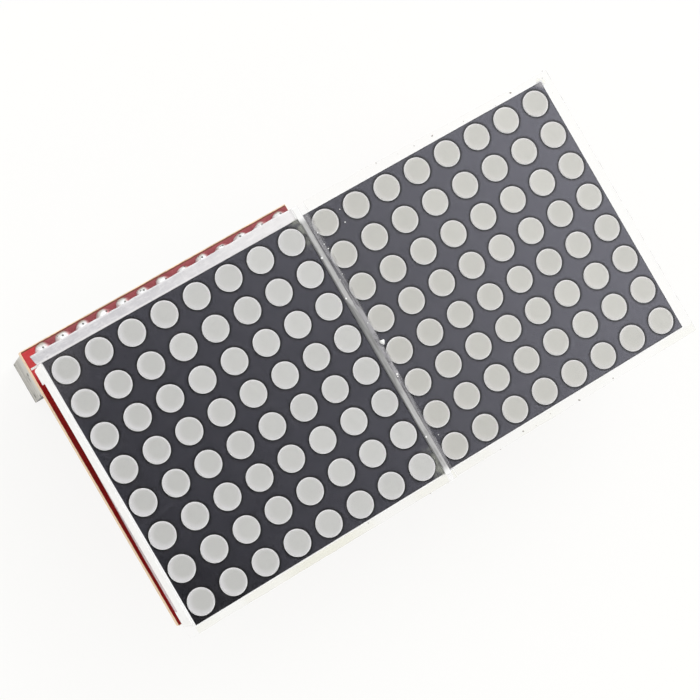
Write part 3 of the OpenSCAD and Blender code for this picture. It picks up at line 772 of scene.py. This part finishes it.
def small_body_finish(name, top, flank):
    """Chip part with a glazed top and plainer flanks"""
    f = Finish(name)
    grain = f.noise(8.0, 4, 0.6)
    tone = f.blend(f.fade(f.size(f.facing_up()), 0.5, 0.7), flank, top)
    tone = f.blend(f.fade(grain, 0.4, 0.7, 0.0, 0.25), tone, scaled(top, 0.7))
    return f.surface(tone, f.fade(grain, 0.3, 0.7, 0.35, 0.55), Normal=f.bump(grain, 0.01, 0.6))


def crumb_finish(name, grain_scale, low, high):
    """Rough matt crumb between two colours"""
    f = Finish(name)
    grain = f.noise(grain_scale, 3)
    return f.surface(
        f.blend(grain, low, high), f.fade(grain, 0.3, 0.7, 0.6, 0.9), Normal=f.bump(grain, 0.02, 0.8),
    )


# ---- new pieces ----

def add_object(name, data):
    made = bpy.data.objects.new(name, data)
    bpy.context.scene.collection.objects.link(made)
    return made


def to_object(name, bm, materials):
    """Turns a mesh in millimetres into a piece on the object's body"""
    bmesh.ops.recalc_face_normals(bm, faces=bm.faces)
    bmesh.ops.scale(bm, vec=(MM, MM, MM), verts=bm.verts)
    for face in bm.faces:
        face.smooth = True
    mesh = bpy.data.meshes.new(name)
    bm.to_mesh(mesh)
    bm.free()
    for material in materials:
        mesh.materials.append(material)
    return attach(add_object(name, mesh), "root")


def wander(value, seed):
    """Slow and fast wandering of a hand-cut line, within about one either way"""
    slow = noise.noise(Vector((value * 0.35, seed, 0.0)))
    fast = noise.noise(Vector((value * 1.9, seed + 7.0, 0.0)))
    return slow * 1.3 + fast * 0.7


def points_along(line, count):
    """Evenly spaced points on a bent line, without its last point"""
    lengths = [(b - a).length for a, b in zip(line, line[1:])]
    total = sum(lengths)
    made = []
    for i in range(count):
        along = total * i / count
        for (a, b), part in zip(zip(line, line[1:]), lengths):
            if along <= part or b is line[-1]:
                made.append(a.lerp(b, min(1.0, along / part)))
                break
            along -= part
    return made


def film_outlines(side):
    """Corner lines of a film, side by side: far, outer right, socket side, left"""
    c = MODULE_CENTRE[side]
    h = MODULE_HALF
    if side == "left":
        far_left, far_right = (-h - 0.9, -h - 0.75), (h + 0.82, -h - 0.9)
        near_right, near_left = (h + 1.28, h + 1.22), (-h - 0.6, h + 1.05)
        left_line = [near_left, (-h - 0.46, h + 0.1), (-h - 0.12, h - 0.35), (-h - 0.3, h - 1.6), far_left]
    else:
        far_left, far_right = (-h + 0.52, -h - 0.9), (h + 1.05, -h - 0.95)
        near_right, near_left = (h + 1.05, h + 0.65), (-h + 0.98, h + 1.15)
        left_line = [near_left, far_left]
    lines = [[far_left, far_right], [far_right, near_right], [near_right, near_left], left_line]
    return [[Vector((c.x + p[0], c.y + p[1])) for p in line] for line in lines]


def film_lift(sizes, side, x, y):
    """Height of a film above the face: loose edges curl, stuck parts lie flat"""
    c = MODULE_CENTRE[side]
    dx = abs(x - c.x) - MODULE_HALF
    dy = abs(y - c.y) - MODULE_HALF
    over_gap = x > SEAM_LEFT - 1 if side == "left" else x < SEAM_RIGHT + 1
    past = max(dy, -1.0 if over_gap else dx)
    if past <= 0:
        return 0.0
    curl = noise.noise(Vector((x * 0.45, y * 0.45, 3.0 if side == "left" else 11.0)))
    height = sizes.lift / MM * (past / 1.1) ** 1.5 * (0.35 + 0.9 * curl)
    if side == "right" and y < c.y:
        swell = math.exp(-(((x - c.x + 3.4) / 2.6) ** 2))
        height += sizes.wave / MM * swell * (past / 0.9) ** 1.4
    return height


def join_rings(bm, low, high, material_index=0):
    """Faces between two closed rings of the same number of points"""
    total = len(low)
    for i in range(total):
        j = (i + 1) % total
        bm.faces.new((low[i], low[j], high[j], high[i])).material_index = material_index


def build_film(sizes, side, materials):
    """A thin closed sheet: ragged outline, curled edges and a flat middle"""
    seed = {"left": 1.0, "right": 5.0}[side]
    count = sizes.steps
    outer = []
    inner = []
    c = MODULE_CENTRE[side]
    lines = film_outlines(side)
    far_inset = MODULE_HALF - 0.15
    gap_left = c.x - far_inset if side == "left" else lines[3][0].x + 0.4
    gap_right = lines[1][0].x - 0.4 if side == "left" else c.x + far_inset
    corners = [
        Vector((gap_left, c.y - far_inset)), Vector((gap_right, c.y - far_inset)),
        Vector((gap_right, c.y + far_inset)), Vector((gap_left, c.y + far_inset)),
    ]
    for number, line in enumerate(lines):
        direction = (line[-1] - line[0]).normalized()
        outward = Vector((direction.y, -direction.x))
        for i, point in enumerate(points_along(line, count)):
            ends = min(i, count - i) / count
            amount = sizes.ragged / MM * wander(point.x + point.y, seed + number) * min(1.0, ends * 30)
            outer.append(point + outward * amount)
        a, b = corners[number], corners[(number + 1) % 4]
        inner.extend(a.lerp(b, i / count) for i in range(count))
    bm = bmesh.new()
    sheets = []
    for level in (0.0, sizes.thickness / MM):
        rings = []
        for step in RING_STEPS:
            ring = []
            for start, end in zip(outer, inner):
                p = start.lerp(end, step)
                z = FACE_Z + 0.005 + level + film_lift(sizes, side, p.x, p.y)
                ring.append(bm.verts.new((p.x, p.y, z)))
            rings.append(ring)
        sheets.append(rings)
    for rings in sheets:
        for low, high in zip(rings, rings[1:]):
            join_rings(bm, low, high)
        bm.faces.new(rings[-1])
    join_rings(bm, sheets[0][0], sheets[1][0], 1)
    return to_object(side + "_film_sheet", bm, materials)


def build_domes(sizes, material):
    """Uneven solder domes that wet each tail of the socket"""
    bm = bmesh.new()
    rng = random.Random(26)
    around, rows = 28, 9
    base_z = JOINTS_LOW.z
    half = (SOCKET_COLUMNS - 1) / 2
    for row in (-0.5, 0.5):
        for column in range(SOCKET_COLUMNS):
            cx = (column - half) * SOCKET_PITCH
            # The outer row was drawn toward the board's edge, most at its left end
            drawn = max(0.0, 0.17 - 0.02 * column) if row > 0 else 0.0
            cy = row * SOCKET_PITCH + drawn
            radius = sizes.radius / MM * rng.uniform(0.93, 1.06)
            height = sizes.height / MM * rng.uniform(0.86, 1.0)
            lean = Vector((rng.uniform(-0.12, 0.12), rng.uniform(-0.12, 0.12)))
            seed = rng.uniform(0, 50)
            rings = []
            for step in range(rows):
                t = step / (rows - 1)
                # A wetted foot, full flanks and a small crown round the tail
                reach = math.cos(t * math.pi / 2) ** 0.62 * 0.86 + 0.14 * (1 - t) ** 3 + 0.05
                rise = math.sin(t * math.pi / 2) ** 1.15
                ring = []
                for k in range(around):
                    a = 2 * math.pi * k / around
                    bulge = noise.noise(Vector((math.cos(a) * 1.4, math.sin(a) * 1.4, seed + t * 1.5)))
                    r = radius * reach * (1 + sizes.uneven * 2 * bulge * (1 - 0.4 * t))
                    ring.append(bm.verts.new((
                        cx + r * math.cos(a) + lean.x * t, cy + r * math.sin(a) + lean.y * t,
                        base_z + height * rise,
                    )))
                rings.append(ring)
            for low, high in zip(rings, rings[1:]):
                join_rings(bm, low, high)
            bm.faces.new(rings[-1])
            bm.faces.new(rings[0][::-1])
    return to_object("socket_solder_domes", bm, [material])


def add_crumb(bm, centre, radius, rng, stretch):
    """One rough crumb"""
    made = bmesh.ops.create_icosphere(bm, subdivisions=2, radius=radius)["verts"]
    shift = Vector((rng.uniform(0, 9), rng.uniform(0, 9), rng.uniform(0, 9)))
    turn = Matrix.Rotation(rng.uniform(0, math.tau), 3, "Z")
    for v in made:
        swell = 1 + 0.55 * noise.noise(v.co / radius * 1.1 + shift)
        v.co = turn @ Vector([a * b * swell for a, b in zip(v.co, stretch)]) + Vector(centre)


def build_crumbs(name, crumbs, mean_radius, sunk, rng, material, stretch=(1.0, 1.0, 0.6)):
    """Crumbs resting a little into the films"""
    c = MODULE_CENTRE["left"]
    bm = bmesh.new()
    for x, y, size in crumbs:
        radius = mean_radius / MM * size
        add_crumb(bm, (c.x + x, c.y + y, FACE_Z + 0.1 + radius * sunk), radius, rng, stretch)
    return to_object(name, bm, [material])


# ---- stage ----

def build_floor(stage):
    """Pale floor that stays white to the eye and still takes the object's shadow"""
    half = stage.floor_side / 2
    mesh = bpy.data.meshes.new("floor")
    corners = [(-half, -half), (half, -half), (half, half), (-half, half)]
    mesh.from_pydata([(x, y, FLOOR_Z) for x, y in corners], [], [(0, 1, 2, 3)])
    f = Finish("pale_floor")
    rays = f.node("ShaderNodeLightPath").outputs
    seen = f.most(rays["Is Camera Ray"], rays["Is Glossy Ray"], rays["Is Transmission Ray"])
    seen = f.times(seen, stage.floor_glow)
    paper = f.node("ShaderNodeBsdfDiffuse", {"Color": (0.92, 0.91, 0.87)}).outputs[0]
    white = f.node("ShaderNodeEmission", {"Color": (1.0, 0.998, 0.988), "Strength": 1.0}).outputs[0]
    top = f.node("ShaderNodeMixShader", {0: seen, 1: paper, 2: white}).outputs[0]
    clear = f.node("ShaderNodeBsdfTransparent").outputs[0]
    under = f.node("ShaderNodeNewGeometry").outputs["Backfacing"]
    mesh.materials.append(f.end(f.node("ShaderNodeMixShader", {0: under, 1: top, 2: clear}).outputs[0]))
    add_object("floor", mesh)


def build_sky(stage):
    """Soft light from all round, dim on one side overhead"""
    world = bpy.data.worlds.new("studio")
    bpy.context.scene.world = world
    f = Finish("studio", world)
    where = f.node("ShaderNodeTexCoord").outputs["Generated"]
    toward = f.vector("DOT_PRODUCT", {0: where, 1: DIM_SIDE}, "Value")
    room = f.ramp(toward, 0.925, 0.785, 0.0, 1.5)
    # What polished and inked faces mirror: a dim patch overhead that grows bright all round it
    aside = f.vector("MULTIPLY_ADD", {0: where, 1: (1.0, 1.0, 0.0), 2: DIM_PATCH})
    spread = f.vector("LENGTH", {0: aside}, "Value")
    patch = f.times(f.math("POWER", f.ramp(spread, 0.17, 0.40), 1.6), 2.2)
    axes = f.node("ShaderNodeSeparateXYZ", {0: where}).outputs
    twist = f.times(f.minus(0.24, axes[0]), axes[1])
    mirrored = f.most(f.add(patch, f.ramp(twist, -0.02, 0.02, -0.3, 0.3)), 0.0)
    rays = f.node("ShaderNodeLightPath").outputs
    soft = f.times(room, stage.sky)
    seen = f.most(rays["Is Glossy Ray"], rays["Is Transmission Ray"])
    strength = f.node("ShaderNodeMix", {0: rays["Is Camera Ray"], 2: soft, 3: 1.0}).outputs[0]
    strength = f.node("ShaderNodeMix", {0: seen, 2: strength, 3: mirrored}).outputs[0]
    f.end(f.node("ShaderNodeBackground", {"Strength": strength}).outputs[0], "ShaderNodeOutputWorld")


def build_lamp(stage):
    data = bpy.data.lights.new("soft_box", "AREA")
    data.shape = "SQUARE"
    data.size = stage.lamp_side
    data.energy = stage.lamp_power
    lamp = add_object("soft_box", data)
    lamp.location = LAMP_PLACE
    turn = (LAMP_PLACE - MODULE_CENTRE["right"] * MM).to_track_quat("Z", "Y")
    lamp.rotation_euler = turn.to_euler()


def build_camera(stage):
    data = bpy.data.cameras.new("camera")
    data.lens = stage.lens
    data.sensor_width = 36
    data.clip_start = 0.005
    camera = add_object("camera", data)
    turn = Matrix(CAMERA_AXES).transposed().to_4x4()
    camera.matrix_world = Matrix.Translation(CAMERA_PLACE) @ turn
    bpy.context.scene.camera = camera


# ---- operators ----

class MATRIX_OT_housings(bpy.types.Operator):
    """White mouldings of both modules"""

    bl_idname = "matrix.housings"
    bl_label = "Finish Housings"

    def execute(self, context):
        finish = housing_finish(context.scene.matrix_colours)
        dress(finish, *both("reflector_housing"))
        return {"FINISHED"}


class MATRIX_OT_faces(bpy.types.Operator):
    """Ink and resin dots of both display faces"""

    bl_idname = "matrix.faces"
    bl_label = "Finish Faces"

    def execute(self, context):
        colours = context.scene.matrix_colours
        for side in SIDES:
            dress(ink_finish(colours, side), side + "_face_ink")
            dress(resin_finish(colours, side), side + "_resin_dots")
        return {"FINISHED"}


class MATRIX_OT_films(bpy.types.Operator):
    """Hand-cut protective films that replace the plain ones"""

    bl_idname = "matrix.films"
    bl_label = "Lay Films"

    def execute(self, context):
        scene = context.scene
        edge = film_edge_finish(scene.matrix_colours)
        for side in SIDES:
            sheet = build_film(scene.matrix_films, side, [film_finish(scene.matrix_colours, side), edge])
            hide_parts(side + "_face_film")
        return {"FINISHED"}


class MATRIX_OT_dust(bpy.types.Operator):
    """Dust and grit caught on the films"""

    bl_idname = "matrix.dust"
    bl_label = "Scatter Dust"

    def execute(self, context):
        dust = context.scene.matrix_dust
        rng = random.Random(7)
        white = crumb_finish("white_dust", 12, (0.95, 0.95, 0.93), (0.80, 0.80, 0.78))
        dark = crumb_finish("dark_grit", 10, (0.16, 0.15, 0.13), (0.36, 0.33, 0.28))
        build_crumbs("film_dust", FLAKES, dust.flake * 0.6, 0.25, rng, white)
        build_crumbs("film_grit", SPECKS, dust.grit, 0.2, rng, dark, (1.4, 0.8, 0.5))
        return {"FINISHED"}


class MATRIX_OT_chip_boards(bpy.types.Operator):
    """Boards, chips and pins inside the modules"""

    bl_idname = "matrix.chip_boards"
    bl_label = "Finish Chip Boards"

    def execute(self, context):
        colours = context.scene.matrix_colours
        dress(carrier_finish(colours), *both("chip_board"))
        dress(die_finish(colours), *both("led_chips"))
        pins = metal_finish("tinned_pins", colours.tin, 0.25, 0.4, 3.0, (1, 1, 0.3))
        dress(pins, *both("module_pins"))
        return {"FINISHED"}


class MATRIX_OT_board(bpy.types.Operator):
    """Main board and its legend"""

    bl_idname = "matrix.board"
    bl_label = "Finish Main Board"

    def execute(self, context):
        colours = context.scene.matrix_colours
        dress(board_finish(colours), "main_board")
        dress(legend_finish(colours), "board_legend")
        return {"FINISHED"}


class MATRIX_OT_socket(bpy.types.Operator):
    """Socket moulding and its contacts"""

    bl_idname = "matrix.socket"
    bl_label = "Finish Socket"

    def execute(self, context):
        colours = context.scene.matrix_colours
        dress(socket_finish(colours), "socket_body")
        dress(metal_finish("spring_contacts", colours.tin, 0.22, 0.38, 5.0), "socket_contacts")
        return {"FINISHED"}


class MATRIX_OT_solder(bpy.types.Operator):
    """Solder domes on the front and solder cones on the back"""

    bl_idname = "matrix.solder"
    bl_label = "Lay Solder"

    def execute(self, context):
        scene = context.scene
        finish = solder_finish(scene.matrix_colours)
        domes = build_domes(scene.matrix_solder, finish)
        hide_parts("socket_solder_joints")
        dress(finish, *both("pin_solder_joints"))
        for name in both("pin_solder_joints"):
            smooth_shading(name)
        return {"FINISHED"}


class MATRIX_OT_chips(bpy.types.Operator):
    """Driver chips and chip parts on the back of the board"""

    bl_idname = "matrix.chips"
    bl_label = "Finish Chips"

    def execute(self, context):
        colours = context.scene.matrix_colours
        dress(mould_finish(colours), *both("driver_body"))
        leads = metal_finish("tinned_leads", colours.tin, 0.25, 0.42, 3.0)
        dress(leads, *both("driver_leads"))
        dress(metal_finish("end_cap_tin", colours.tin, 0.3, 0.5, 6.0), "chip_end_caps")
        dress(small_body_finish("resistor_glaze", colours.resistor, (0.78, 0.77, 0.73)), "set_resistors")
        dress(small_body_finish("ceramic_body", colours.ceramic, colours.ceramic), "decoupling_capacitors")
        dress(small_body_finish("bulk_body", colours.bulk, colours.bulk), "bulk_capacitors")
        return {"FINISHED"}


class MATRIX_OT_stage(bpy.types.Operator):
    """Floor, soft light and camera"""

    bl_idname = "matrix.stage"
    bl_label = "Set Stage"

    def execute(self, context):
        stage = context.scene.matrix_stage
        build_floor(stage)
        build_sky(stage)
        build_lamp(stage)
        build_camera(stage)
        return {"FINISHED"}


OPERATORS = (
    MATRIX_OT_stage, MATRIX_OT_housings, MATRIX_OT_faces, MATRIX_OT_films, MATRIX_OT_dust,
    MATRIX_OT_chip_boards, MATRIX_OT_board, MATRIX_OT_socket, MATRIX_OT_solder, MATRIX_OT_chips,
)


class VIEW3D_PT_matrix(bpy.types.Panel):
    """Every step of the board's finishing"""

    bl_idname = "VIEW3D_PT_matrix"
    bl_label = "Dot Matrix"
    bl_space_type = "VIEW_3D"
    bl_region_type = "UI"
    bl_category = "Dot Matrix"

    def draw(self, context):
        layout = self.layout
        for operator in OPERATORS:
            layout.operator(operator.bl_idname)
        for name, group in GROUPS.items():
            box = layout.box()
            values = getattr(context.scene, name)
            for key in group.__annotations__:
                box.prop(values, key)


CLASSES = (*GROUPS.values(), *OPERATORS, VIEW3D_PT_matrix)


def register():
    for cls in CLASSES:
        bpy.utils.register_class(cls)
    for name, group in GROUPS.items():
        setattr(bpy.types.Scene, name, bpy.props.PointerProperty(type=group))


def unregister():
    for name in GROUPS:
        delattr(bpy.types.Scene, name)
    for cls in reversed(CLASSES):
        bpy.utils.unregister_class(cls)


def main():
    register()
    bpy.context.scene.view_settings.view_transform = "Standard"
    bpy.ops.matrix.stage()
    bpy.ops.matrix.housings()
    bpy.ops.matrix.faces()
    bpy.ops.matrix.films()
    bpy.ops.matrix.dust()
    bpy.ops.matrix.chip_boards()
    bpy.ops.matrix.board()
    bpy.ops.matrix.socket()
    bpy.ops.matrix.solder()
    bpy.ops.matrix.chips()


if __name__ == "__main__":
    main()
